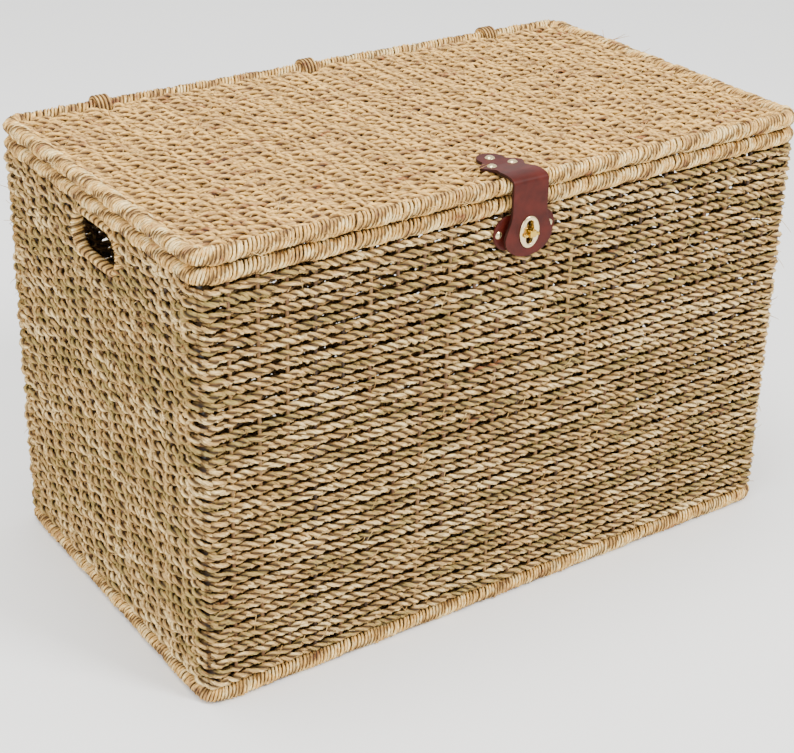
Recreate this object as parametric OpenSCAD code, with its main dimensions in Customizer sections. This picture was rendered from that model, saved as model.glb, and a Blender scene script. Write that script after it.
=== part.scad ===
// Woven seagrass storage trunk with a hinged lid and a leather turn-lock strap.
// Millimetres, +Z up, front towards -Y. The floor is z = 0.

/* [Trunk] */
// Length between the two side frame rods
rod_w = 605; // [500:5:800]
// Depth between the front and rear frame rods
rod_d = 343; // [300:1:460]
// Height of the top frame rod over the bottom one
rod_h = 373; // [300:1:480]
// Centre-line radius of the rounded corners
corner_r = 14; // [12:1:30]
// Thickness of the woven walls, base and lid
weave_t = 10; // [8:0.5:12]

/* [Frame and rims] */
// Diameter of the welded frame rod
rod_t = 6; // [5:0.5:8]
// Diameter of the corner posts and cross bars, thinner than the rings they meet
bar_t = 4.5; // [3.5:0.5:4.5]
// Outer diameter of the cord-wrapped rims
rim_t = 15; // [14:0.5:18]
// Flat worn on the underside of the bottom rim
foot_flat = 1; // [0.5:0.1:1.5]
// Diameter of the stakes inside the weave
stake_t = 3; // [2:0.5:4]
// Number of stakes in the front and in the back
long_stakes = 23; // [15:2:27]
// Number of stakes in each side
side_stakes = 13; // [9:1:15]

/* [Hand holes] */
// Clear length of a hand hole
hand_w = 76; // [60:1:100]
// Clear height of a hand hole
hand_h = 32; // [24:1:34]
// Width of the cord binding round a hand hole
bind_t = 5; // [4:0.5:6]
// Centre of a hand hole along the side
hand_y = -6; // [-30:1:30]
// Drop from the top frame rod to the centre of a hand hole
hand_drop = 30; // [30:1:40]

/* [Hinges] */
// Width of one cord hinge loop
loop_w = 15; // [10:1:20]
// Thickness of one cord hinge loop
loop_t = 3.5; // [3:0.5:5]
// Distance between neighbouring hinge loops
loop_pitch = 214; // [120:1:250]

/* [Strap and lock] */
// Centre of the strap along the front
strap_x = -7; // [-60:1:60]
// Width of the strap
strap_w = 35; // [30:1:40]
// Thickness of the leather
leather_t = 2.6; // [2:0.1:3]
// Width of the pear-shaped end of the flap
flap_w = 48; // [40:1:60]
// Drop from the lid rod to the middle of the lock
lock_drop = 38; // [36:1:42]
// Width of the eyelet plate
eyelet_w = 20; // [18:1:24]
// Height of the eyelet plate
eyelet_h = 28; // [26:1:32]
// Width of the eyelet slot
slot_w = 7; // [6.6:0.1:8]
// Height of the eyelet slot
slot_h = 20; // [18:1:21]

/* [Hidden] */
$fn = 48;

gap = 0.3;
rim_r = rim_t / 2;
half_t = weave_t / 2;
bottom_z = rim_r - foot_flat;
top_z = bottom_z + rod_h;
lid_z = top_z + rim_t + gap;

// The knob stands further out in front than the hinge loops do behind, so the
// trunk is set back by half the difference to keep the origin under the middle.
loop_inner = rim_r + gap;
loop_reach = loop_inner + loop_t;
flap_in = 10.5;
flap_out = flap_in + leather_t;
eyelet_t = 1.6;
knob_from = flap_out + eyelet_t + gap;
knob_t = 4.4;
knob_reach = knob_from + knob_t;
mid_y = (knob_reach - loop_reach) / 2;
front_y = mid_y - rod_d / 2;
rear_y = mid_y + rod_d / 2;
side_x = rod_w / 2;

lock_z = lid_z - lock_drop;
hand_z = top_z - hand_drop;
base_z = bottom_z;
base_lift = 2;
base_half = base_z - base_lift;

long_pitch = rod_w / (long_stakes + 1);
side_pitch = rod_d / (side_stakes + 1);
cross_x = (floor(long_stakes / 3) + 0.5) * long_pitch;
loop_xs = [-loop_pitch, 0, loop_pitch];

// Leather, brass and rivet sizes that only fit each other
patch_t = 1.8;
plate_t = 0.8;
patch_w = 62;
patch_h = 30;
patch_rivet_x = 26;
patch_rivet_head = [6.5, 1.4];
rivet_shank = 3;
peen = 0.6;
washer_d = 8;
prong_z = 6;
prong_size = [4, 1];
lock_w = 22;
lock_h = 16;
collar_d = 9;
spindle_d = 5;
spindle_fit = 0.16;
spindle_foot = [6.5, 0.5];
spindle_play = 0.1;
knob_w = 15.5;
knob_h = 6;
pear_h = 36;
pear_drop = 3;
pear_top = 18;
flap_root = lock_drop - 4;
strap_reach = 54;
strap_flare = 45;
strap_start = 6;
strap_lift_end = 20;
strap_waist = 30;
strap_side_r = 9;
strap_end_r = 14;
strap_rivet_head = [8.5, 2];
strap_washer_d = 10;
strap_rivet_places = [[-10.5, 26], [10.5, 26], [0, 43]];

module rounded_rect(w, d, r) {
    union() {
        square([w - 2 * r, d], center = true);
        square([w, d - 2 * r], center = true);
        for (sx = [-1, 1], sy = [-1, 1])
            translate([sx * (w / 2 - r), sy * (d / 2 - r)])
                circle(r);
    }
}

// A closed ring of round bar, with its centre line on the trunk's rod outline
module ring(thick) {
    r = thick / 2;
    ex = side_x - corner_r;
    ey = rod_d / 2 - corner_r;
    translate([0, mid_y, 0]) {
        for (s = [-1, 1]) {
            translate([-ex, s * rod_d / 2, 0])
                rotate([0, 90, 0])
                    cylinder(r = r, h = 2 * ex);
            translate([s * side_x, ey, 0])
                rotate([90, 0, 0])
                    cylinder(r = r, h = 2 * ey);
        }
        for (q = [[1, 1, 0], [-1, 1, 90], [-1, -1, 180], [1, -1, 270]])
            translate([q[0] * ex, q[1] * ey, 0])
                rotate([0, 0, q[2]])
                    rotate_extrude(angle = 90)
                        translate([corner_r, 0])
                            circle(r);
    }
}

module corner_posts() {
    ex = side_x - corner_r;
    ey = rod_d / 2 - corner_r;
    reach = corner_r * sqrt(0.5);
    for (sx = [-1, 1], sy = [-1, 1])
        translate([sx * (ex + reach), mid_y + sy * (ey + reach), bottom_z])
            cylinder(d = bar_t, h = rod_h);
}

module cross_bars(z) {
    for (s = [-1, 1])
        translate([s * cross_x, rear_y, z])
            rotate([90, 0, 0])
                cylinder(d = bar_t, h = rod_d);
}

// Welded rod frame of the box: two rings, four corner posts, two base bars
module box_frame() {
    color("dimgray")
        union() {
            translate([0, 0, bottom_z])
                ring(rod_t);
            translate([0, 0, top_z])
                ring(rod_t);
            corner_posts();
            cross_bars(bottom_z);
        }
}

module bottom_rim_wrap() {
    color("burlywood")
        difference() {
            translate([0, 0, bottom_z])
                ring(rim_t);
            box_frame();
            translate([-side_x - rim_t, front_y - rim_t, -rim_t])
                cube([rod_w + 2 * rim_t, rod_d + 2 * rim_t, rim_t]);
        }
}

module top_rim_wrap() {
    color("burlywood")
        difference() {
            translate([0, 0, top_z])
                ring(rim_t);
            box_frame();
        }
}

function long_stake_x(i) = (i - (long_stakes - 1) / 2) * long_pitch;
function side_stake_y(i) = mid_y + (i - (side_stakes - 1) / 2) * side_pitch;

// Uprights at the stakes' places in a long wall, ending at the inset from the frame
// rods. The stakes have rim_r, and the holes for them none, so the holes are open.
module uprights_along_x(y, inset) {
    for (i = [0 : long_stakes - 1])
        translate([long_stake_x(i), y, bottom_z + inset])
            cylinder(d = stake_t, h = rod_h - 2 * inset);
}

module uprights_along_y(x, inset) {
    for (i = [0 : side_stakes - 1])
        translate([x, side_stake_y(i), bottom_z + inset])
            cylinder(d = stake_t, h = rod_h - 2 * inset);
}

// Rods at the stakes' places in the base or in the lid
module rods_from_front(z, inset) {
    for (i = [0 : long_stakes - 1])
        translate([long_stake_x(i), rear_y - inset, z])
            rotate([90, 0, 0])
                cylinder(d = stake_t, h = rod_d - 2 * inset);
}

// Stakes of one side wall, cut off where they would cross the hand hole
module side_wall_stakes(x) {
    difference() {
        uprights_along_y(x, rim_r);
        hand_hole_cut(x, bind_t);
    }
}

module slot_shape(w, h) {
    union() {
        square([w - h, h], center = true);
        for (s = [-1, 1])
            translate([s * (w - h) / 2, 0])
                circle(d = h);
    }
}

module hand_hole_cut(x, border) {
    translate([x - weave_t, mid_y + hand_y, hand_z])
        rotate([90, 0, 90])
            linear_extrude(2 * weave_t)
                slot_shape(hand_w + 2 * border, hand_h + 2 * border);
}

// The two rims of the box, cut out of the walls that they wrap
module rims() {
    translate([0, 0, bottom_z])
        ring(rim_t);
    translate([0, 0, top_z])
        ring(rim_t);
}

// A long wall with the two corners that its rows turn round
module long_wall(s) {
    ex = side_x - corner_r;
    ey = rod_d / 2 - corner_r;
    translate([-ex, mid_y + s * rod_d / 2 - half_t, bottom_z])
        cube([2 * ex, weave_t, rod_h]);
    for (sx = [-1, 1])
        translate([sx * ex, mid_y + s * ey, bottom_z])
            rotate([0, 0, s > 0 ? (sx > 0 ? 0 : 90) : (sx > 0 ? 270 : 180)])
                rotate_extrude(angle = 90)
                    translate([corner_r - half_t, 0])
                        square([weave_t, rod_h]);
}

module side_wall(s) {
    ey = rod_d / 2 - corner_r;
    translate([s * side_x - half_t, mid_y - ey, bottom_z])
        cube([weave_t, 2 * ey, rod_h]);
}

// Holes through the front wall for the lock's prongs and the patch rivets
module lock_holes() {
    patch_rivet_bodies();
    lock_prongs();
}

module front_weave() {
    color("tan")
        difference() {
            long_wall(-1);
            rims();
            corner_posts();
            uprights_along_x(front_y, 0);
            lock_holes();
        }
}

module back_weave() {
    color("tan")
        difference() {
            long_wall(1);
            rims();
            corner_posts();
            uprights_along_x(rear_y, 0);
            loop_holes();
        }
}

module left_weave() {
    color("tan")
        difference() {
            side_wall(-1);
            rims();
            uprights_along_y(-side_x, 0);
            hand_hole_cut(-side_x, bind_t);
        }
}

module right_weave() {
    color("tan")
        difference() {
            side_wall(1);
            rims();
            uprights_along_y(side_x, 0);
            hand_hole_cut(side_x, bind_t);
        }
}

module base_weave() {
    color("tan")
        difference() {
            translate([0, mid_y, base_z - base_half])
                linear_extrude(2 * base_half)
                    rounded_rect(rod_w, rod_d, corner_r);
            translate([0, 0, bottom_z])
                ring(rim_t);
            box_frame();
            rods_from_front(base_z, 0);
        }
}

module front_stakes() {
    color("wheat")
        difference() {
            uprights_along_x(front_y, rim_r);
            lock_holes();
        }
}

module back_stakes() {
    color("wheat")
        difference() {
            uprights_along_x(rear_y, rim_r);
            loop_holes();
        }
}

module left_stakes() {
    color("wheat")
        side_wall_stakes(-side_x);
}

module right_stakes() {
    color("wheat")
        side_wall_stakes(side_x);
}

module base_stakes() {
    color("wheat")
        rods_from_front(base_z, rim_r);
}

// Cord binding round the edge of a hand hole, a little proud of the weave
module hand_hole_binding(s) {
    proud = 1;
    translate([s * side_x - half_t - proud, mid_y + hand_y, hand_z])
        rotate([90, 0, 90])
            linear_extrude(weave_t + 2 * proud)
                difference() {
                    slot_shape(hand_w + 2 * bind_t, hand_h + 2 * bind_t);
                    slot_shape(hand_w, hand_h);
                }
}

module left_hand_hole_binding() {
    color("burlywood")
        hand_hole_binding(-1);
}

module right_hand_hole_binding() {
    color("burlywood")
        hand_hole_binding(1);
}

// Upright band round the lid's rear rod and the box's rear rod
module loop_outline(r) {
    union() {
        translate([0, top_z])
            circle(r);
        translate([0, lid_z])
            circle(r);
        translate([-r, top_z])
            square([2 * r, lid_z - top_z]);
    }
}

// The child outline, in the hinge loops' three places
module at_loops(w) {
    for (x = loop_xs)
        translate([x - w / 2, rear_y, 0])
            rotate([90, 0, 90])
                linear_extrude(w)
                    children();
}

// Room for the hinge loops, and all that turns inside them, in the wall and the lid
module loop_holes() {
    at_loops(loop_w + 2 * gap)
        loop_outline(loop_reach + gap);
}

module hinge_loops() {
    color("peru")
        at_loops(loop_w)
            difference() {
                loop_outline(loop_reach);
                loop_outline(loop_inner);
            }
}

// Places and turns a child so that its +Z points forwards out of the front,
// with its base on the plane at the given distance in front of the front rod
module on_front(x, reach, z) {
    translate([x, front_y - reach, z])
        rotate([90, 0, 0])
            children();
}

module patch_rivet_bodies() {
    for (s = [-1, 1])
        on_front(strap_x + s * patch_rivet_x, -half_t - plate_t - peen, lock_z)
            cylinder(d = rivet_shank, h = weave_t + plate_t + patch_t + peen);
}

module lock_prongs() {
    for (s = [-1, 1])
        on_front(strap_x, -half_t - plate_t - peen, lock_z + s * prong_z)
            translate([-prong_size[0] / 2, -prong_size[1] / 2, 0])
                cube([prong_size[0], prong_size[1], weave_t + patch_t + plate_t + peen]);
}

module oval(w, h) {
    scale([1, h / w])
        circle(d = w);
}

// Leather patch behind the flap, with the lock plate on it
module lock_patch() {
    color("sienna")
        difference() {
            on_front(strap_x, half_t, lock_z)
                linear_extrude(patch_t)
                    slot_shape(patch_w, patch_h);
            lock_holes();
            on_front(strap_x, 0, lock_z)
                cylinder(d = collar_d, h = weave_t);
        }
}

module dome(d, h) {
    r = (d * d / 4 + h * h) / (2 * h);
    intersection() {
        translate([0, 0, h - r])
            sphere(r);
        cylinder(d = d, h = h);
    }
}

module lock_patch_rivets() {
    color("gold")
        union() {
            patch_rivet_bodies();
            for (s = [-1, 1])
                on_front(strap_x + s * patch_rivet_x, half_t + patch_t, lock_z)
                    dome(patch_rivet_head[0], patch_rivet_head[1]);
        }
}

module lock_patch_washers() {
    color("gold")
        difference() {
            for (s = [-1, 1])
                on_front(strap_x + s * patch_rivet_x, -half_t - plate_t, lock_z)
                    cylinder(d = washer_d, h = plate_t);
            patch_rivet_bodies();
        }
}

// Plate of the turn lock, with a collar for the spindle and two prongs
module lock_base() {
    color("gold")
        difference() {
            union() {
                on_front(strap_x, half_t + patch_t, lock_z) {
                    linear_extrude(plate_t)
                        slot_shape(lock_w, lock_h);
                    cylinder(d = collar_d, h = flap_in - plate_t - gap - half_t - patch_t);
                }
                lock_prongs();
            }
            on_front(strap_x, 0, lock_z)
                cylinder(d = spindle_d + spindle_fit, h = knob_reach);
        }
}

module lock_backing_plate() {
    color("gold")
        difference() {
            on_front(strap_x, -half_t - plate_t, lock_z)
                linear_extrude(plate_t)
                    slot_shape(lock_w, lock_h);
            lock_prongs();
        }
}

module lid_frame() {
    color("dimgray")
        union() {
            translate([0, 0, lid_z])
                ring(rod_t);
            cross_bars(lid_z);
        }
}

module lid_rim_wrap() {
    color("burlywood")
        difference() {
            translate([0, 0, lid_z])
                ring(rim_t);
            lid_frame();
        }
}

module lid_weave() {
    color("tan")
        difference() {
            translate([0, mid_y, lid_z - half_t])
                linear_extrude(weave_t)
                    rounded_rect(rod_w, rod_d, corner_r);
            translate([0, 0, lid_z])
                ring(rim_t);
            lid_frame();
            rods_from_front(lid_z, 0);
            loop_holes();
            strap_rivet_shanks();
        }
}

module lid_stakes() {
    color("wheat")
        difference() {
            rods_from_front(lid_z, rim_r);
            loop_holes();
            strap_rivet_shanks();
        }
}

module strap_rivet_shanks() {
    for (p = strap_rivet_places)
        translate([strap_x + p[0], front_y + p[1], lid_z - half_t - plate_t - peen])
            cylinder(d = rivet_shank, h = weave_t + leather_t + plate_t + peen);
}

module strap_rivets() {
    color("gold")
        union() {
            strap_rivet_shanks();
            for (p = strap_rivet_places)
                translate([strap_x + p[0], front_y + p[1], lid_z + half_t + leather_t])
                    dome(strap_rivet_head[0], strap_rivet_head[1]);
        }
}

module strap_washers() {
    color("gold")
        difference() {
            for (p = strap_rivet_places)
                translate([strap_x + p[0], front_y + p[1], lid_z - half_t - plate_t])
                    cylinder(d = strap_washer_d, h = plate_t);
            strap_rivet_shanks();
        }
}

// Seen from above: the strap narrows behind the rim, then flares to a rounded end
module lid_strap_outline() {
    hull() {
        translate([-strap_w / 2, strap_start])
            square([strap_w, 1]);
        translate([-strap_waist / 2, strap_lift_end - 2])
            square([strap_waist, 1]);
    }
    hull() {
        translate([-strap_waist / 2, strap_lift_end - 2])
            square([strap_waist, 1]);
        for (s = [-1, 1])
            translate([s * (strap_flare / 2 - strap_side_r), strap_reach - 20])
                circle(strap_side_r);
        translate([0, strap_reach - strap_end_r])
            circle(strap_end_r);
    }
}

// Seen from the side: flat on the lid, then up onto the rim
module lid_strap_profile() {
    t = leather_t;
    polygon([
        [strap_reach, half_t], [strap_lift_end, half_t], [strap_start, rim_r],
        [strap_start, rim_r + t], [strap_lift_end, half_t + t], [strap_reach, half_t + t]
    ]);
}

module lid_strap() {
    color("sienna")
        difference() {
            intersection() {
                translate([strap_x, front_y, lid_z])
                    linear_extrude(rim_t)
                        lid_strap_outline();
                translate([strap_x - flap_w, front_y, lid_z])
                    rotate([90, 0, 90])
                        linear_extrude(2 * flap_w)
                            lid_strap_profile();
            }
            strap_rivet_shanks();
        }
}

// Seen from the front, about the middle of the lock: straight, then pear-shaped
module flap_outline() {
    hull() {
        translate([0, -pear_drop])
            oval(flap_w, pear_h);
        translate([-strap_w / 2, pear_top])
            square([strap_w, 1]);
    }
    translate([-strap_w / 2, pear_top])
        square([strap_w, flap_root - pear_top]);
}

// Upright slot, for the hole in the eyelet and for the one in the leather
module upright_slot(w, h) {
    rotate([0, 0, 90])
        slot_shape(h, w);
}

module strap_flap() {
    color("sienna")
        on_front(strap_x, flap_in, lock_z)
            linear_extrude(leather_t)
                difference() {
                    flap_outline();
                    upright_slot(slot_w + 2 * plate_t, slot_h + 2 * plate_t);
                }
}

module eyelet_front() {
    color("gold")
        union() {
            on_front(strap_x, flap_out, lock_z)
                linear_extrude(eyelet_t)
                    difference() {
                        oval(eyelet_w, eyelet_h);
                        upright_slot(slot_w, slot_h);
                    }
            on_front(strap_x, flap_in - plate_t, lock_z)
                linear_extrude(leather_t + plate_t)
                    difference() {
                        upright_slot(slot_w + 2 * plate_t, slot_h + 2 * plate_t);
                        upright_slot(slot_w, slot_h);
                    }
        }
}

module eyelet_back() {
    color("gold")
        on_front(strap_x, flap_in - plate_t, lock_z)
            linear_extrude(plate_t)
                difference() {
                    oval(eyelet_w, eyelet_h);
                    upright_slot(slot_w + 2 * plate_t, slot_h + 2 * plate_t);
                }
}

// Spindle with a peened end and a bar across it, shown turned to lock
module turn_knob() {
    spindle_from = half_t + spindle_play;
    color("gold")
        union() {
            on_front(strap_x, spindle_from, lock_z) {
                cylinder(d = spindle_foot[0], h = spindle_foot[1]);
                cylinder(d = spindle_d, h = knob_from - spindle_from + 1);
            }
            on_front(strap_x, knob_from, lock_z)
                linear_extrude(knob_reach - knob_from)
                    slot_shape(knob_w, knob_h);
        }
}

module spindle_washer() {
    color("silver")
        difference() {
            on_front(strap_x, half_t + spindle_play + spindle_foot[1], lock_z)
                cylinder(d = washer_d, h = patch_t - spindle_foot[1] - 2 * spindle_play);
            on_front(strap_x, half_t, lock_z)
                cylinder(d = spindle_d, h = patch_t + plate_t);
        }
}

box_frame();
bottom_rim_wrap();
top_rim_wrap();
front_weave();
back_weave();
left_weave();
right_weave();
base_weave();
front_stakes();
back_stakes();
left_stakes();
right_stakes();
base_stakes();
left_hand_hole_binding();
right_hand_hole_binding();
hinge_loops();
lock_patch();
lock_patch_rivets();
lock_patch_washers();
lock_base();
lock_backing_plate();
lid_frame();
lid_rim_wrap();
lid_weave();
lid_stakes();
lid_strap();
strap_rivets();
strap_washers();
strap_flap();
eyelet_front();
eyelet_back();
turn_knob();
spindle_washer();
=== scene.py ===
"""Woven seagrass trunk: its cords, coils, leather and brass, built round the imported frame."""

import bisect
import math
import random

import bmesh
import bpy
from mathutils import Matrix, Vector, noise


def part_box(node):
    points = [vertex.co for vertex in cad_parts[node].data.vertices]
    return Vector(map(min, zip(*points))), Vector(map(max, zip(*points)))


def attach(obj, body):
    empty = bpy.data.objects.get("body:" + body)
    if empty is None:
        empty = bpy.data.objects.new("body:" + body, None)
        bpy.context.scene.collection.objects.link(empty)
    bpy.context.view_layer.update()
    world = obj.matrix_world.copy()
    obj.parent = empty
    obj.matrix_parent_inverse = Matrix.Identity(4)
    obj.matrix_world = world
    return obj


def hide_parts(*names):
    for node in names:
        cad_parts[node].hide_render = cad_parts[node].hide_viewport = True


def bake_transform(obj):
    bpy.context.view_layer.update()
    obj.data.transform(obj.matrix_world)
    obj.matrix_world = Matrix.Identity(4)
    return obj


bl_info = {
    "name": "Woven Trunk",
    "version": (1, 0, 0),
    "blender": (4, 5, 0),
    "location": "3D Viewport > Sidebar > Trunk",
    "description": "Builds a seagrass storage trunk with a hinged lid and a turn-lock strap",
    "category": "Object",
}

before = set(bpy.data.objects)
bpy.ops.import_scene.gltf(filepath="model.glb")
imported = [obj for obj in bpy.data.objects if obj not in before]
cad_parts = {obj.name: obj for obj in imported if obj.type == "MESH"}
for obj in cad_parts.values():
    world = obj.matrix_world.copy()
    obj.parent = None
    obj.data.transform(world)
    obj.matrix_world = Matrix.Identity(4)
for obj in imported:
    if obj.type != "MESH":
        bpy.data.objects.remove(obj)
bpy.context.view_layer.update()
MM = 0.001

# Places that every piece is worked out from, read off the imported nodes
LID_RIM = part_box("lid_rim_wrap")
RIM_R = (LID_RIM[1].z - LID_RIM[0].z) / 2
SIDE_X = LID_RIM[1].x - RIM_R
FRONT_Y = LID_RIM[0].y + RIM_R
REAR_Y = LID_RIM[1].y - RIM_R
MID_Y = (FRONT_Y + REAR_Y) / 2
LID_Z = (LID_RIM[0].z + LID_RIM[1].z) / 2
TOP_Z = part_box("top_rim_wrap")[1].z - RIM_R
BOTTOM_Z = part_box("bottom_rim_wrap")[1].z - RIM_R
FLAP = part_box("strap_flap")
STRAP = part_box("lid_strap")
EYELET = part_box("eyelet_front")
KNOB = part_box("turn_knob")
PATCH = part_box("lock_patch")
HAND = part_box("left_hand_hole_binding")
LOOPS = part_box("hinge_loops")
STRAP_X = (FLAP[0].x + FLAP[1].x) / 2
LOCK_Z = (EYELET[0].z + EYELET[1].z) / 2
CORNER_R = 14 * MM
LONG_STAKES = 23
SIDE_STAKES = 13
LOOP_W = 15 * MM
LOOP_T = LOOPS[1].y - REAR_Y - RIM_R - 0.3 * MM
LOOP_XS = (LOOPS[0].x + LOOP_W / 2, 0.0, LOOPS[1].x - LOOP_W / 2)
# Rows nearer than this to the middle of a rear rod stop short of the loops
LOOP_REACH = RIM_R + LOOP_T + 3 * MM
CORNER_LENGTH = CORNER_R * math.pi / 2
LONG = 2 * (SIDE_X - CORNER_R)
SHORT = REAR_Y - FRONT_Y - 2 * CORNER_R
ROUND = 2 * (LONG + SHORT) + 4 * CORNER_LENGTH


def linear(hex_colour):
    """A linear RGBA colour from an sRGB hex string such as "#c9a875"."""
    channels = [int(hex_colour[i:i + 2], 16) / 255 for i in (1, 3, 5)]
    return tuple(c / 12.92 if c <= 0.04045 else ((c + 0.055) / 1.055) ** 2.4 for c in channels) + (1.0,)


def colour_property(name, description, hex_colour):
    """A colour setting with its default given as sRGB hex."""
    return bpy.props.FloatVectorProperty(
        name=name, description=description, subtype="COLOR", size=4, min=0, max=1,
        default=linear(hex_colour))


def length_property(name, description, millimetres):
    """A length setting, shown in the scene's units, with its default in millimetres."""
    return bpy.props.FloatProperty(
        name=name, description=description, unit="LENGTH", min=0, default=millimetres * MM)


class TrunkSizes(bpy.types.PropertyGroup):
    """Sizes of the cords and the leather"""

    wall_rows: bpy.props.IntProperty(
        name="Wall rows", description="Rows of cord between the two rims", default=38, min=10)
    lid_rows: bpy.props.IntProperty(
        name="Lid rows", description="Rows of cord from front to back of the lid", default=37, min=10)
    strand: length_property("Strand", "Thickness of one of the two strands of a row", 7.3)
    strand_offset: length_property("Strand offset", "From a row's middle to a strand's middle", 2.3)
    lay: length_property("Lay", "Length of a strand in which its plies turn once", 20.0)
    ring_step: length_property("Ring step", "Spacing of the rings of points along a row", 2.2)
    wander: length_property("Wander", "How far a row wanders from its place", 1.2)
    rim_cord: length_property("Rim cord", "Thickness of the cord coiled round the rims", 4.7)
    loop_cord: length_property("Loop cord", "Thickness of one turn of a hinge loop", 3.5)
    fibre: length_property("Fibre", "Length of the longest loose fibre end", 22)
    leather: length_property("Leather", "Thickness of the strap", 2.6)


class TrunkColours(bpy.types.PropertyGroup):
    """Colours of the seagrass, leather and metal"""

    straw: colour_property("Straw", "Palest seagrass", "#e6cc94")
    lid_straw: colour_property("Lid straw", "Palest seagrass of the lid", "#d3a960")
    tan: colour_property("Tan", "Most of the seagrass", "#b38f58")
    olive: colour_property("Olive", "Seagrass that dried green", "#94824a")
    russet: colour_property("Russet", "Seagrass that dried red", "#8c5a34")
    leather: colour_property("Leather", "Dyed strap leather", "#42120a")
    leather_edge: colour_property("Leather edge", "Cut and burnished leather edge", "#2e130d")
    brass: colour_property("Brass", "Pale plated brass", "#dcc99a")
    polished_brass: colour_property("Polished brass", "Turn knob", "#c9a548")
    steel: colour_property("Steel", "Black painted rod", "#26221e")
    cane: colour_property("Cane", "Unpeeled cane stakes", "#6b4a2c")
    floor: colour_property("Floor", "Pale floor and backdrop", "#f4f4f2")


# Nodes and materials

def add(tree, kind, settings=None, **links):
    """Adds a node, with settings for its fields and numbered or named sockets, and returns it."""
    made = tree.nodes.new(kind)
    for key, value in (settings or {}).items():
        if isinstance(key, int) or key in made.inputs:
            made.inputs[key].default_value = value
        else:
            setattr(made, key, value)
    for key, source in links.items():
        tree.links.new(source, made.inputs[key.replace("_", " ")])
    return made


def start_material(name):
    """An empty material with its output, and the tree to fill."""
    material = bpy.data.materials.new(name)
    material.use_nodes = True
    material.node_tree.nodes.clear()
    return material, material.node_tree


def finish_material(material, tree, shader):
    """Joins the shader to the output."""
    output = tree.nodes.new("ShaderNodeOutputMaterial")
    tree.links.new(shader.outputs[0], output.inputs["Surface"])
    return material


def set_ramp(ramp, stops):
    """Gives a colour ramp its stops, as (place, colour) pairs."""
    elements = ramp.color_ramp.elements
    while len(elements) < len(stops):
        elements.new(0.5)
    for element, (place, colour) in zip(elements, stops):
        element.position = place
        element.color = colour


def wall_depth(tree, place):
    """How far outside the middle of the walls a point is."""
    parts = add(tree, "ShaderNodeSeparateXYZ", Vector=place.outputs["Object"])
    across = add(tree, "ShaderNodeMath", {"operation": "ABSOLUTE"}, Value=parts.outputs["X"])
    beyond_x = add(tree, "ShaderNodeMath", {"operation": "SUBTRACT", 1: SIDE_X}, Value=across.outputs[0])
    middle = add(tree, "ShaderNodeMath", {"operation": "SUBTRACT", 1: MID_Y}, Value=parts.outputs["Y"])
    deep = add(tree, "ShaderNodeMath", {"operation": "ABSOLUTE"}, Value=middle.outputs[0])
    beyond_y = add(tree, "ShaderNodeMath", {"operation": "SUBTRACT", 1: REAR_Y - MID_Y}, Value=deep.outputs[0])
    furthest = add(tree, "ShaderNodeMath", {"operation": "MAXIMUM"}, Value=beyond_x.outputs[0])
    tree.links.new(beyond_y.outputs[0], furthest.inputs[1])
    return furthest.outputs[0]


def lid_depth(tree, place):
    """How far above the middle of the lid a point is."""
    parts = add(tree, "ShaderNodeSeparateXYZ", Vector=place.outputs["Object"])
    return add(tree, "ShaderNodeMath", {"operation": "SUBTRACT", 1: LID_Z}, Value=parts.outputs["Z"]).outputs[0]


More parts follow.
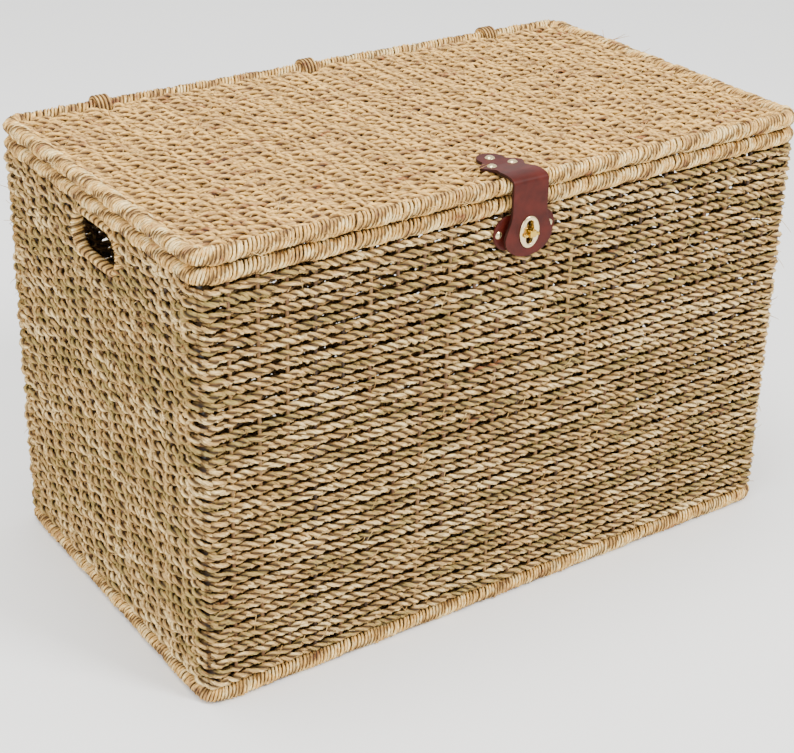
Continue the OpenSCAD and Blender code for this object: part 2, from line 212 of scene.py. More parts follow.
def seagrass(name, tones, blade_mm, depth=None):
    """Twisted dry seagrass: matt, split into fine fibres that run along each ply, blade by blade
    a different straw, green or red; painted shade darkens the ply grooves and, with depth, deeper strands."""
    material, tree = start_material(name)
    place = add(tree, "ShaderNodeTexCoord")
    # A blade's colour lasts some centimetres along a row, but only one row across it
    stretch = add(tree, "ShaderNodeMapping", {"Scale": tuple(1 / (size * MM) for size in blade_mm)},
                  Vector=place.outputs["Object"])
    blades = add(tree, "ShaderNodeTexNoise", {"Scale": 1.0, "Detail": 3.0, "Roughness": 0.7},
                 Vector=stretch.outputs["Vector"])
    tone = add(tree, "ShaderNodeValToRGB", Fac=blades.outputs["Fac"])
    set_ramp(tone, tones)
    # Fibres are 9 mm long along the strand and 0.9 mm wide, on a ply whose edge is about 16 mm round
    stretched = add(tree, "ShaderNodeMapping", {"Scale": (1 / (9 * MM), 16 / 0.9, 1.0)},
                    Vector=place.outputs["UV"])
    fibres = add(tree, "ShaderNodeTexNoise", {"Scale": 1.0, "Detail": 3.0, "Roughness": 0.65},
                 Vector=stretched.outputs["Vector"])
    contrast = add(tree, "ShaderNodeValToRGB", Fac=fibres.outputs["Fac"])
    set_ramp(contrast, [(0.34, (0.30, 0.25, 0.19, 1)), (0.47, (0.90, 0.88, 0.84, 1)), (0.66, (1.6, 1.58, 1.5, 1))])
    mixed = add(tree, "ShaderNodeMix", {"data_type": "RGBA", "blend_type": "MULTIPLY", 0: 0.85})
    tree.links.new(tone.outputs["Color"], mixed.inputs[6])
    tree.links.new(contrast.outputs["Color"], mixed.inputs[7])
    # Painted shade in the groove between the plies and a faint painted highlight on each ply's crest: the groove
    # lies a quarter of the way round from each ply
    around = add(tree, "ShaderNodeSeparateXYZ", Vector=place.outputs["UV"])
    wave = add(tree, "ShaderNodeMath", {"operation": "MULTIPLY", 1: 4 * math.pi}, Value=around.outputs["Y"])
    ridge = add(tree, "ShaderNodeMath", {"operation": "COSINE"}, Value=wave.outputs[0])
    shade = add(tree, "ShaderNodeValToRGB", Fac=add(
        tree, "ShaderNodeMapRange", {"From Min": -1.0, "From Max": 1.0}, Value=ridge.outputs[0]).outputs["Result"])
    set_ramp(shade, [(0.0, (0.10, 0.07, 0.04, 1)), (0.30, (0.55, 0.50, 0.42, 1)), (0.6, (1.0, 0.99, 0.96, 1)),
                     (1.0, (1.2, 1.2, 1.18, 1))])
    shaded_colour = add(tree, "ShaderNodeMix", {"data_type": "RGBA", "blend_type": "MULTIPLY", 0: 1.0})
    tree.links.new(mixed.outputs[2], shaded_colour.inputs[6])
    tree.links.new(shade.outputs["Color"], shaded_colour.inputs[7])
    if depth:
        # Painted shade: strands lying behind the face of a wall or the lid are darkened, the deeper the darker
        inward = add(tree, "ShaderNodeMapRange", {"From Min": -2.5 * MM, "From Max": 2.2 * MM},
                     Value=depth(tree, place))
        depth_shade = add(tree, "ShaderNodeValToRGB", Fac=inward.outputs["Result"])
        set_ramp(depth_shade, [(0.0, (0.26, 0.2, 0.14, 1)), (0.45, (0.30, 0.24, 0.17, 1)), (0.85, (1.0, 1.0, 1.0, 1))])
        depth_shaded = add(tree, "ShaderNodeMix", {"data_type": "RGBA", "blend_type": "MULTIPLY", 0: 1.0})
        tree.links.new(shaded_colour.outputs[2], depth_shaded.inputs[6])
        tree.links.new(depth_shade.outputs["Color"], depth_shaded.inputs[7])
        shaded_colour = depth_shaded
    bump = add(tree, "ShaderNodeBump", {"Strength": 0.7, "Distance": 0.5 * MM},
               Height=fibres.outputs["Fac"])
    shader = add(tree, "ShaderNodeBsdfPrincipled", {"Roughness": 0.72, "Specular IOR Level": 0.3, "IOR": 1.5},
                 Base_Color=shaded_colour.outputs[2], Normal=bump.outputs["Normal"])
    return finish_material(material, tree, shader)


def wall_seagrass(colours):
    """Seagrass of the walls, duller, with green and red blades among the tan."""
    return seagrass("seagrass_cord", [
        (0.26, colours.russet), (0.38, colours.olive), (0.50, colours.tan), (0.64, colours.straw),
        (0.76, colours.tan)], (70, 70, 8), depth=wall_depth)


def lid_seagrass(colours):
    """Seagrass of the lid, chosen paler."""
    return seagrass("pale_seagrass_cord", [
        (0.31, colours.russet), (0.42, colours.tan), (0.54, colours.lid_straw), (0.64, colours.lid_straw),
        (0.75, colours.tan)], (60, 9, 80), depth=lid_depth)


def rim_seagrass(colours):
    """Single thin seagrass strand coiled round the rims."""
    return seagrass("coiled_seagrass", [
        (0.28, colours.russet), (0.40, colours.tan), (0.50, colours.lid_straw), (0.60, colours.straw),
        (0.74, colours.lid_straw)], (14, 14, 14))


def dyed_leather(name, colour, roughness):
    """Dyed cowhide with a smooth sealed face: fine pores, faint creases and a soft sheen."""
    material, tree = start_material(name)
    place = add(tree, "ShaderNodeTexCoord")
    cloud = add(tree, "ShaderNodeTexNoise", {"Scale": 1 / (12 * MM), "Detail": 4.0}, Vector=place.outputs["Object"])
    shade = add(tree, "ShaderNodeValToRGB", Fac=cloud.outputs["Fac"])
    dark = tuple(c * 0.72 for c in colour[:3]) + (1,)
    light = tuple(min(1, c * 1.25) for c in colour[:3]) + (1,)
    set_ramp(shade, [(0.35, dark), (0.65, light)])
    # Pores about half a millimetre apart
    pores = add(tree, "ShaderNodeTexVoronoi", {"Scale": 1 / (0.7 * MM)}, Vector=place.outputs["Object"])
    bump = add(tree, "ShaderNodeBump", {"Strength": 0.25, "Distance": 0.12 * MM}, Height=pores.outputs["Distance"])
    shader = add(tree, "ShaderNodeBsdfPrincipled", {
        "Roughness": roughness, "Specular IOR Level": 0.16},
        Base_Color=shade.outputs["Color"], Normal=bump.outputs["Normal"])
    return finish_material(material, tree, shader)


def plated_metal(name, colour, roughness):
    """Polished plate with hairline scratches from handling."""
    material, tree = start_material(name)
    place = add(tree, "ShaderNodeTexCoord")
    stretched = add(tree, "ShaderNodeMapping", {"Scale": (1 / (0.3 * MM), 1 / (0.3 * MM), 1 / (4 * MM))},
                    Vector=place.outputs["Object"])
    lines = add(tree, "ShaderNodeTexNoise", {"Scale": 1.0, "Detail": 2.0}, Vector=stretched.outputs["Vector"])
    bump = add(tree, "ShaderNodeBump", {"Strength": 0.06, "Distance": 0.05 * MM}, Height=lines.outputs["Fac"])
    spread = add(tree, "ShaderNodeMapRange", {"To Min": roughness * 0.8, "To Max": roughness * 1.4},
                 Value=lines.outputs["Fac"])
    shader = add(tree, "ShaderNodeBsdfPrincipled", {"Metallic": 1.0, "Base Color": tuple(colour)},
                 Roughness=spread.outputs["Result"], Normal=bump.outputs["Normal"])
    return finish_material(material, tree, shader)


def painted_rod(colours):
    """Welded mild-steel rod, dipped in black paint that is thin and slightly lumpy."""
    material, tree = start_material("black_painted_steel")
    place = add(tree, "ShaderNodeTexCoord")
    lumps = add(tree, "ShaderNodeTexNoise", {"Scale": 1 / (3 * MM), "Detail": 3.0}, Vector=place.outputs["Object"])
    bump = add(tree, "ShaderNodeBump", {"Strength": 0.3, "Distance": 0.2 * MM}, Height=lumps.outputs["Fac"])
    shader = add(tree, "ShaderNodeBsdfPrincipled", {"Roughness": 0.45, "Base Color": tuple(colours.steel)},
                 Normal=bump.outputs["Normal"])
    return finish_material(material, tree, shader)


def peeled_cane(colours):
    """Cane stakes, one tone to a stake: most darkened, painted shade for the shadow behind the weave, and a few
    pale.
    """
    material, tree = start_material("peeled_cane")
    place = add(tree, "ShaderNodeTexCoord")
    # One stake's tone lasts its whole length, and the next stake 25 mm away has another
    single = add(tree, "ShaderNodeMapping", {"Scale": (1 / (31 * MM), 1 / (29 * MM), 1 / (450 * MM))},
                 Vector=place.outputs["Object"])
    grain = add(tree, "ShaderNodeTexNoise", {"Scale": 1.0, "Detail": 2.0}, Vector=single.outputs["Vector"])
    tone = add(tree, "ShaderNodeValToRGB", Fac=grain.outputs["Fac"])
    # Painted shade: the darkest stop stands for stakes lying in shadow behind the strands
    dark = tuple(c * 0.25 for c in colours.cane[:3]) + (1,)
    set_ramp(tone, [(0.42, dark), (0.56, colours.cane), (0.74, colours.tan)])
    shader = add(tree, "ShaderNodeBsdfPrincipled", {"Roughness": 0.6}, Base_Color=tone.outputs["Color"])
    return finish_material(material, tree, shader)


def studio_floor(colours):
    """Seamless pale studio floor, matt with the faintest mottle."""
    material, tree = start_material("pale_studio_floor")
    place = add(tree, "ShaderNodeTexCoord")
    mottle = add(tree, "ShaderNodeTexNoise", {"Scale": 2.0, "Detail": 2.0}, Vector=place.outputs["Object"])
    tone = add(tree, "ShaderNodeValToRGB", Fac=mottle.outputs["Fac"])
    shade = tuple(c * 0.98 for c in colours.floor[:3]) + (1,)
    set_ramp(tone, [(0.3, shade), (0.7, colours.floor)])
    shader = add(tree, "ShaderNodeBsdfPrincipled", {"Roughness": 0.9}, Base_Color=tone.outputs["Color"])
    return finish_material(material, tree, shader)


def material_named(name, make, *values):
    """The material of that name, made the first time it is asked for."""
    return bpy.data.materials.get(name) or make(*values)


def settings():
    """The scene's trunk sizes and colours."""
    scene = bpy.context.scene
    return scene.trunk_sizes, scene.trunk_colours


# Shapes

def link(name, data, *materials):
    """A new object in the scene, with its materials."""
    piece = bpy.data.objects.new(name, data)
    bpy.context.collection.objects.link(piece)
    for material in materials:
        piece.data.materials.append(material)
    return piece


def shade_smooth(mesh):
    """Smooth shading on every face."""
    mesh.polygons.foreach_set("use_smooth", [True] * len(mesh.polygons))


def evaluated_mesh(source, name):
    """A mesh of an object as its modifiers or its curve make it; the object itself is removed."""
    graph = bpy.context.evaluated_depsgraph_get()
    mesh = bpy.data.meshes.new_from_object(source.evaluated_get(graph), depsgraph=graph)
    mesh.name = name
    bpy.data.objects.remove(source, do_unlink=True)
    return mesh


def two_ply_section(thickness, count):
    """Outline of two plies lying side by side, as a closed curve to sweep along a cord."""
    section = bpy.data.curves.new("section", "CURVE")
    section.dimensions = "2D"
    spline = section.splines.new("POLY")
    spline.points.add(count - 1)
    spline.use_cyclic_u = True
    radius = thickness * 0.285
    offset = thickness / 2 - radius
    for i, point in enumerate(spline.points):
        angle = 2 * math.pi * i / count
        across = offset * abs(math.cos(angle))
        reach = across + math.sqrt(max(0.0, radius ** 2 - (offset * math.sin(angle)) ** 2))
        reach = max(reach, radius * 0.62)
        point.co = (reach * math.cos(angle), reach * math.sin(angle), 0, 1)
    return link("section", section)


def sweep(name, runs, strand, sides=6, closed=False, plies=1, twist_mode="MINIMUM"):
    """A mesh of cords. Each run is a list of (point, tilt, thickness) along one cord. A cord of two plies
    is turned by the tilt, which lays the plies round each other."""
    path = bpy.data.curves.new(name, "CURVE")
    path.dimensions = "3D"
    path.use_fill_caps = not closed
    path.twist_mode = twist_mode
    section = None
    if plies == 2:
        section = two_ply_section(strand, sides)
        path.bevel_mode = "OBJECT"
        path.bevel_object = section
    else:
        path.bevel_depth = strand / 2
        path.bevel_resolution = max(0, sides // 2 - 2)
    longest = 0.0
    for run in runs:
        spline = path.splines.new("POLY")
        spline.points.add(len(run) - 1)
        spline.use_cyclic_u = closed
        for made, (point, tilt, thickness) in zip(spline.points, run):
            made.co = (*point, 1)
            made.tilt = tilt
            made.radius = thickness
        longest = max(longest, sum((Vector(b[0]) - Vector(a[0])).length for a, b in zip(run, run[1:])))
    mesh = evaluated_mesh(link(name, path), name)
    if section:
        bpy.data.objects.remove(section, do_unlink=True)
    # The sweep's map runs 0 to 1 both ways: along the cord it is brought to metres
    layer = mesh.uv_layers[0].data
    flat = [0.0] * (2 * len(layer))
    layer.foreach_get("uv", flat)
    flat[0::2] = [u * longest for u in flat[0::2]]
    layer.foreach_set("uv", flat)
    shade_smooth(mesh)
    return mesh


def outline(s):
    """(point, outward direction) at distance s along the rods' outline, seen from above, starting
    where the left side meets the front left corner and going along the front first."""
    ex = SIDE_X - CORNER_R
    near, far = FRONT_Y + CORNER_R, REAR_Y - CORNER_R
    corners = [(-ex, near, 180), (ex, near, 270), (ex, far, 0), (-ex, far, 90)]
    lengths = [LONG, SHORT, LONG, SHORT]
    s = s % ROUND
    for (cx, cy, turn), straight in zip(corners, lengths):
        if s <= CORNER_LENGTH:
            angle = math.radians(turn) + s / CORNER_R
            out = Vector((math.cos(angle), math.sin(angle), 0))
            return Vector((cx, cy, 0)) + out * CORNER_R, out
        s -= CORNER_LENGTH
        if s <= straight:
            angle = math.radians(turn + 90)
            out = Vector((math.cos(angle), math.sin(angle), 0))
            along = Vector((-out.y, out.x, 0))
            return Vector((cx, cy, 0)) + out * CORNER_R + along * s, out
        s -= straight
    return outline(0.0)


def stake_places():
    """Distances along the outline at which a row's strands cross: at each stake, and either side of each
    corner post, so that they lie one above the other in front of the post."""
    places = []
    start = 0.0
    for straight, count in ((LONG, LONG_STAKES), (SHORT, SIDE_STAKES)) * 2:
        places.extend(start + CORNER_LENGTH / 2 + side * 9 * MM for side in (-1, 1))
        pitch = (straight + 2 * CORNER_R) / (count + 1)
        middle = start + CORNER_LENGTH + straight / 2
        places.extend(middle + (i - (count - 1) / 2) * pitch for i in range(count))
        start += CORNER_LENGTH + straight
    return places


def flat_knots():
    """The x of every stake and cross bar of the lid and the base, and of the rims at their ends."""
    pitch = 2 * SIDE_X / (LONG_STAKES + 1)
    stakes = [(i - LONG_STAKES // 2) * pitch for i in range(LONG_STAKES)]
    bars = [side * (LONG_STAKES // 3 + 0.5) * pitch for side in (-1, 1)]
    return sorted(stakes + bars + [-SIDE_X, SIDE_X])


STAKES = stake_places()
STAKE_LOOP = [STAKES[-1] - ROUND, *STAKES, STAKES[0] + ROUND]
CORNER_POSTS = [start + CORNER_LENGTH / 2 for start in (
    0.0, CORNER_LENGTH + LONG, 2 * CORNER_LENGTH + LONG + SHORT, 3 * CORNER_LENGTH + 2 * LONG + SHORT, ROUND)]
FLAT_KNOTS = flat_knots()
CROSS_BAR_X = (LONG_STAKES // 3 + 0.5) * 2 * SIDE_X / (LONG_STAKES + 1)
UP = Vector((0, 0, 1))
# How far a strand shifts up and down as it turns, as a share of its reach, usually and where rows lie level
SLIP = 0.58
LEVEL_SLIP = 0.18
# How far the hidden strand sinks, which lets it close the gap below its row
SINK = 4.6 * MM
# A strand is pressed wider within about this distance of a corner post or cross bar
POST_SPREAD = 10 * MM
BAR_SPREAD = 9 * MM
# Strands are laid this far outside the middle of the walls at a corner post
POST_LIFT = 2.8 * MM
# The base's strands are thinner, so that none is below the floor, and have fewer rings of points
BASE_STRAND = 5.3 * MM
BASE_STEP = 5.0 * MM
# Turns of a coil are built from this many points each
COIL_POINTS = 12
# Loose fibre ends keep clear of the strap, and of the rear rims, which meet when the lid opens
STRAP_CLEAR = 27 * MM
REAR_CLEAR = 25 * MM
HAND_CLEAR = 45 * MM


def half_turns(knots, s):
    """How far two strands have turned at s, in half turns: one from each knot to the next, quick where
    they cross in front of and behind a stake and slow where they lie one above the other."""
    i = min(max(bisect.bisect_right(knots, s) - 1, 0), len(knots) - 2)
    t = min(1.0, max(0.0, (s - knots[i]) / (knots[i + 1] - knots[i])))
    return i + t + 0.25 * math.sin(2 * math.pi * t) / (2 * math.pi)


def turns_at(s):
    """How far a wall row's strands have turned at s along the outline."""
    return math.pi * half_turns(STAKE_LOOP, s)


def wobble(s, row, reach, seed=0.0):
    """Smooth unevenness along a row, between plus and minus reach."""
    return noise.noise(Vector((s / (45 * MM), row * 3.7, seed))) * reach


def twined_pair(start, end, row, place, turn_at, sizes, step, reach, thickness, play=None):
    """The two strands of one row from start to end, each a cord of two plies. place(s) gives the row's
    middle, and the two directions that the strands turn in, turn_at(s) how far they have turned, thickness(s)
    how many times as thick as usual they are, and play(s) how they shift up and down."""
    steps = max(4, round((end - start) / step))
    pair = []
    for strand in (0, 1):
        run = []
        ahead = wobble(start, row, 40.0, 7.0 + strand)
        for i in range(steps + 1):
            s = start + (end - start) * i / steps
            middle, out, up = place(s)
            seed = row * 2 + strand
            turn = turn_at(s) + math.pi * strand + wobble(s, row, 0.7, 3.0)
            offset = reach * (1 + wobble(s, seed, 0.3, 5.0))
            slip, sink = play(s) if play else (SLIP, 0.0)
            rise = offset * slip * math.sin(turn) - sink * ((1 - math.cos(turn)) / 2) ** 2.2
            point = (middle + out * (offset * math.cos(turn) + wobble(s, row, sizes.wander, 1.0))
                     + up * (rise + wobble(s, row, sizes.wander, 2.0)))
            lay = ahead + 2 * math.pi * (s - start) / sizes.lay + wobble(s, seed, 3.0, 6.0)
            run.append((point, lay, thickness(s) * (1.0 + wobble(s, seed, 0.3, 4.0))))
        pair.append(run)
    return pair


def at_corner(s):
    """1 at a corner post, fading to 0 some way along the walls."""
    gap = min(abs(s - post) for post in CORNER_POSTS)
    return math.exp(-(gap / POST_SPREAD) ** 2)


def on_short_side(s):
    """Whether s along the outline is on one of the two short sides."""
    return s % (ROUND / 2) > 2 * CORNER_LENGTH + LONG


def wall_thickness(s):
    """Strands are pressed wider round the corner posts, and beaten down hardest at the back, least in front."""
    front, right, back, left = 0.95, 1.10, 1.15, 1.03
    if s < ROUND / 2:
        usual = right if on_short_side(s) else front
    else:
        usual = left if on_short_side(s) else back
    return usual + 0.16 * at_corner(s)


def wall_play(s):
    """How far a strand rides up and down as it turns, as a share of its reach, and how far it sinks where it
    is hidden. On the long sides the strand in front lies level, and the one behind shows in the gap below."""
    if on_short_side(s):
        return SLIP, 0.0
    corner = at_corner(s)
    return LEVEL_SLIP + (SLIP - LEVEL_SLIP) * corner, SINK * (1 - corner)


def panel_thickness(x):
    """Strands are pressed wider over the two cross bars."""
    return 1.04 + 0.14 * math.exp(-((abs(x) - CROSS_BAR_X) / BAR_SPREAD) ** 2)


def panel_play(_x):
    """How strands shift on the lid and base: as on the short sides, but the hidden one sinks as well."""
    return SLIP, SINK * 0.9


def wall_run(start, end, z, row, sizes):
    """The two strands of a wall's row from start to end along the outline."""
    def place(s):
        point, out = outline(s)
        point = point + out * POST_LIFT * at_corner(s)
        return Vector((point.x, point.y, z)), out, UP
    return twined_pair(start, end, row, place, turns_at, sizes, sizes.ring_step, sizes.strand_offset,
                       wall_thickness, wall_play)


def keep_outside(start, end, cuts):
    """The stretches of start to end that are left once the cuts, as (from, to) pairs, are taken out."""
    kept = []
    for low, high in sorted(cuts):
        if low > start:
            kept.append((start, min(low, end)))
        start = max(start, high)
    if start < end:
        kept.append((start, end))
    return kept


def hand_hole_half(z):
    """Half the length that a hand hole and its binding take out of a row at height z."""
    outer = (HAND[1].z - HAND[0].z) / 2
    rise = z - (HAND[0].z + HAND[1].z) / 2
    if abs(rise) >= outer:
        return 0.0
    straight = (HAND[1].y - HAND[0].y) / 2 - outer
    return straight + math.sqrt(outer ** 2 - rise ** 2) - 2 * MM


# Start and end of each wall along the outline; the long walls keep the corners
WALLS = {
    "front": (0.0, 2 * CORNER_LENGTH + LONG),
    "right": (2 * CORNER_LENGTH + LONG, 2 * CORNER_LENGTH + LONG + SHORT),
    "back": (2 * CORNER_LENGTH + LONG + SHORT, 4 * CORNER_LENGTH + 2 * LONG + SHORT),
    "left": (4 * CORNER_LENGTH + 2 * LONG + SHORT, ROUND),
}


def wall_cuts(wall, z):
    """What a row of a wall at height z leaves out, for a hand hole or the hinge loops."""
    start, end = WALLS[wall]
    if wall in ("left", "right"):
        half = hand_hole_half(z)
        hand_y = (HAND[0].y + HAND[1].y) / 2
        near = FRONT_Y + CORNER_R
        middle = start + hand_y - near if wall == "right" else end - (hand_y - near)
        return [(middle - half, middle + half)] if half > 0 else []
    if wall == "back" and TOP_Z - z < LOOP_REACH:
        middle = (start + end) / 2
        return [(middle + x - LOOP_W / 2, middle + x + LOOP_W / 2) for x in LOOP_XS]
    return []


def wall_rows(wall, sizes):
    """Every row of one wall."""
    start, end = WALLS[wall]
    pitch = (TOP_Z - BOTTOM_Z - 2 * RIM_R) / sizes.wall_rows
    runs = []
    for row in range(sizes.wall_rows):
        z = BOTTOM_Z + RIM_R + pitch * (row + 0.5)
        for low, high in keep_outside(start, end, wall_cuts(wall, z)):
            runs.append((z, wall_run(low, high, z, row, sizes)))
    return runs


def flat_turns_at(x):
    """How far the strands of a flat panel's row have turned at x: half a turn from one stake or bar to the
    next."""
    return math.pi * half_turns(FLAT_KNOTS, x)


def flat_rows(z, count, step, row_seed, sizes, loops=False):
    """Rows of a flat panel that run from side to side, at height z, each with its distance from the front."""
    low, high = FRONT_Y + RIM_R, REAR_Y - RIM_R
    pitch = (high - low) / count
    reach = SIDE_X - RIM_R / 2
    runs = []
    for row in range(count):
        y = low + pitch * (row + 0.5)
        at_loops = loops and REAR_Y - y < LOOP_REACH
        cuts = [(x - LOOP_W / 2, x + LOOP_W / 2) for x in LOOP_XS] if at_loops else []

        def place(x, y=y):
            return Vector((x, y, z)), UP, Vector((0, 1, 0))
        for start, end in keep_outside(-reach, reach, cuts):
            runs.append((y, twined_pair(start, end, row + row_seed, place, flat_turns_at, sizes, step,
                                        sizes.strand_offset * 0.92, panel_thickness, panel_play)))
    return runs


def parts_of(rows, count):
    """The runs of the rows, shared out in order over that many pieces."""
    places = sorted({place for place, _ in rows})
    shares = []
    for i in range(count):
        low = places[round(len(places) * i / count)]
        high = places[min(len(places) - 1, round(len(places) * (i + 1) / count) - 1)]
        shares.append([run for place, pair in rows if low <= place <= high for run in pair])
    return shares


def coil_places(count):
    """Distances along the outline for that many steps of a coil, closer together round the corners, so that
    the turns still touch on the outside of a bend."""
    spread = (CORNER_R + RIM_R * 0.9) / CORNER_R
    table = [(0.0, 0.0)]
    for straight in (LONG, SHORT) * 2:
        weight, s = table[-1]
        table.append((weight + CORNER_LENGTH * spread, s + CORNER_LENGTH))
        table.append((table[-1][0] + straight, table[-1][1] + straight))
    weights = [weight for weight, _ in table]
    places = []
    for i in range(count):
        want = weights[-1] * i / count
        k = min(max(bisect.bisect_right(weights, want), 1), len(table) - 1)
        (w0, s0), (w1, s1) = table[k - 1], table[k]
        places.append(s0 + (s1 - s0) * (want - w0) / (w1 - w0))
    return places, weights[-1]


def rim_coil(name, z, sizes, floor=None):
    """Two cords coiled side by side round a rim's rod, all the way round."""
    cord = sizes.rim_cord
    radius = RIM_R - cord / 2 + 0.2 * MM
    # Two cords side by side, each pressed a little narrower than it is thick
    turns = round(coil_places(1)[1] / (2 * cord * 0.76))
    count = turns * COIL_POINTS
    places = coil_places(count)[0]
    runs = []
    for start in (0.0, math.pi):
        run = []
        for i, s in enumerate(places):
            middle, out = outline(s)
            angle = 2 * math.pi * i / COIL_POINTS + start + wobble(s * 3, start, 0.6, 8.0)
            reach = radius + wobble(s * 5, start, 1.3 * MM, 5.0)
            point = middle + out * reach * math.cos(angle)
            point.z = z + reach * math.sin(angle)
            if floor is not None:
                point.z = max(point.z, floor + cord * 0.72)
            lay = 2 * math.pi * (round(turns * 0.7) * i / count % 1)
            run.append((point, lay, 1.04 + noise.noise(Vector((i * 0.37, start, z * 10))) * 0.36))
        runs.append(run)
    return sweep(name, runs, cord, sides=6, closed=True, plies=2)


def hand_hole_coil(name, x, sizes):
    """Cord wrapped round and round the edge of a hand hole."""
    height = HAND[1].z - HAND[0].z
    width = HAND[1].y - HAND[0].y
    border = 5 * MM
    cord = 3.4 * MM
    half = (HAND[1].x - HAND[0].x) / 2 - cord / 2
    radius = height / 2 - border / 2
    straight = (width - height) / 2
    middle = Vector((x, (HAND[0].y + HAND[1].y) / 2, (HAND[0].z + HAND[1].z) / 2))
    around = 2 * math.pi * radius + 4 * straight
    count = round(around / (cord * 1.02)) * COIL_POINTS
    run = []
    for i in range(count):
        s = around * i / count
        quarter = s % (around / 2)
        side = 1 if s < around / 2 else -1
        if quarter < 2 * straight:
            out = UP
            place = Vector((0, straight - quarter, radius))
        else:
            angle = (quarter - 2 * straight) / radius
            out = Vector((0, -math.sin(angle), math.cos(angle)))
            place = Vector((0, -straight, 0)) + out * radius
        turn = 2 * math.pi * i / COIL_POINTS
        offset = Vector((half * math.cos(turn), 0, 0)) + out * 1.4 * MM * math.sin(turn)
        point = place + offset
        run.append((middle + Vector((point.x, point.y * side, point.z * side)), 0.0, 1.0))
    return sweep(name, [run], cord, sides=6, closed=True)


def loop_turns(sizes):
    """Turns of cord of the hinge loops, round the rear rods of the box and of the lid."""
    cord = sizes.loop_cord
    radius = RIM_R + 0.3 * MM + LOOP_T / 2
    per_loop = int(LOOP_W / cord)
    rise = LID_Z - TOP_Z
    runs = []
    for loop_x in LOOP_XS:
        for turn in range(per_loop):
            x = loop_x + (turn - (per_loop - 1) / 2) * cord * 1.04
            run = []
            for start, z in ((0.0, LID_Z), (math.pi, LID_Z - rise)):
                for i in range(COIL_POINTS):
                    angle = start + math.pi * i / (COIL_POINTS - 1)
                    point = Vector((x, REAR_Y + radius * math.cos(angle), z + radius * math.sin(angle)))
                    run.append((point, 0.0, 1.0))
            runs.append(run)
    return sweep("hinge_loop_cords", runs, cord * 0.98, sides=8, closed=True)


def smooth_step(low, high, value):
    """0 below low, 1 above high, and an even curve between."""
    t = min(1.0, max(0.0, (value - low) / (high - low)))
    return t * t * (3 - 2 * t)


# The strap's leather: width, where its back end is, its three rounded lobes, and the bend over the rim
STRAP_WIDE = 35 * MM
STRAP_END = 54 * MM
SIDE_LOBES = 28 * MM
LOBE_HALF = 21 * MM
FAR_LOBE_R = 12 * MM
BEND_DROP = 10 * MM


def strap_half_width(forward, drop):
    """Half the width of the strap at a place: forward of the front rod, drop below the lid's rod."""
    straight = STRAP_WIDE / 2
    if drop < BEND_DROP:
        back = -forward
        waist = STRAP_WIDE / 2 - 2.5 * MM
        if back > SIDE_LOBES:
            far = math.sqrt(max(0.0, FAR_LOBE_R ** 2 - (back - STRAP_END + FAR_LOBE_R) ** 2))
            far = far if back > STRAP_END - FAR_LOBE_R else FAR_LOBE_R
            return far + (LOBE_HALF - far) * (1 - smooth_step(SIDE_LOBES, SIDE_LOBES + 10 * MM, back))
        if back > 14 * MM:
            return waist + (LOBE_HALF - waist) * smooth_step(14 * MM, SIDE_LOBES - 1 * MM, back)
        return waist + (straight - waist) * smooth_step(-14 * MM, -4 * MM, forward)
    pear = (FLAP[1].x - FLAP[0].x) / 2
    bottom = LID_Z - FLAP[0].z
    widest = bottom - 18 * MM
    if drop > widest:
        return pear * (1 - min(1.0, (drop - widest) / (bottom - widest)) ** 2) ** 0.5
    return straight + (pear - straight) * smooth_step(20 * MM, widest + 3 * MM, drop)


def strap_path(thickness):
    """Points (forward, drop) along the middle of the leather: over the lid, straight up to the rim, sharply
    over it and down."""
    half = thickness / 2
    flat = -(STRAP[0].z - LID_Z) - half
    front = FRONT_Y - FLAP[0].y - half
    crest = -(RIM_R + half + 0.3 * MM)
    bottom = LID_Z - FLAP[0].z
    ramp_from, ramp_to = -SIDE_LOBES + 2 * MM, -2 * MM
    points = []
    for i in range(33):
        points.append((-STRAP_END + (STRAP_END - SIDE_LOBES) * (1 - math.cos(math.pi / 2 * i / 32)), flat))
    for i in range(21):
        t = i / 20
        rise = 0.25 * smooth_step(0, 1, t) + 0.75 * t
        points.append((ramp_from + (ramp_to - ramp_from) * t, flat + (crest - flat) * rise))
    reach, rise = front - ramp_to, -crest - 4 * MM
    for i in range(1, 17):
        angle = math.pi / 2 * i / 16
        points.append((ramp_to + reach * math.sin(angle) ** 0.72, -4 * MM - rise * math.cos(angle) ** 0.72))
    for i in range(1, 15):
        points.append((front, -4 * MM + (bottom - 13 * MM) * i / 14))
    start = points[-1][1]
    for i in range(1, 19):
        points.append((front, start + (bottom - start) * math.sin(math.pi / 2 * i / 18)))
    return points


